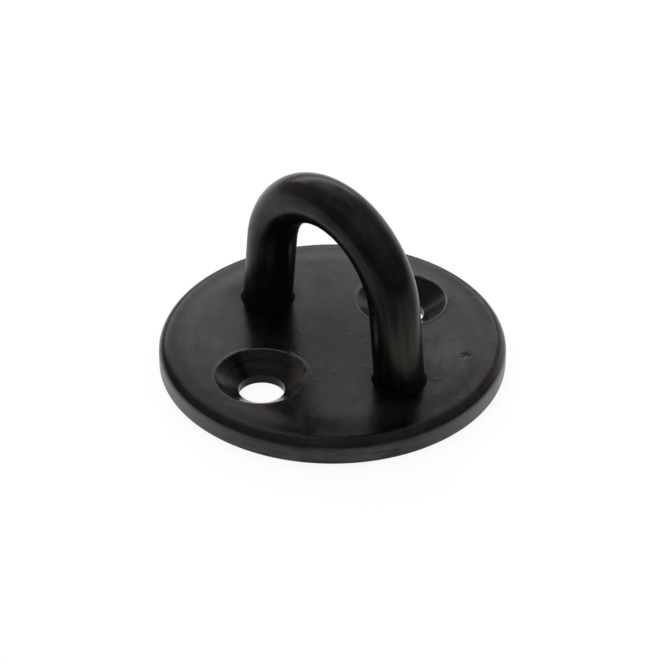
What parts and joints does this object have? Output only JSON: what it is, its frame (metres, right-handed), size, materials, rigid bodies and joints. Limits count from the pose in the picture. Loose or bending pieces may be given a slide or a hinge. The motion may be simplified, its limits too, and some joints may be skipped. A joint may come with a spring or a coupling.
{
  "type": "eye plate",
  "caption": "Round screw-down plate with countersunk screw holes and a welded eye of bent round bar, for a hook, shackle or cord.",
  "frame": {"origin": "centre of the flat face beneath, which lies on the wall, deck or table", "axes": "+Z out of that face through the eye, X through both feet of the eye, Y through both screw holes and through the eye's opening"},
  "size_m": [0.04, 0.04, 0.024],
  "materials": {
    "satin_black": "satin black over fine-ground stainless steel",
    "gloss_black": "semi-gloss black over polished stainless steel",
    "weld_black": "semi-gloss black over weld metal"
  },
  "bodies": {
    "root": {"base_plate": "satin_black", "eye_bar": "gloss_black", "left_weld": "weld_black", "right_weld": "weld_black"}
  },
  "joints": []
}
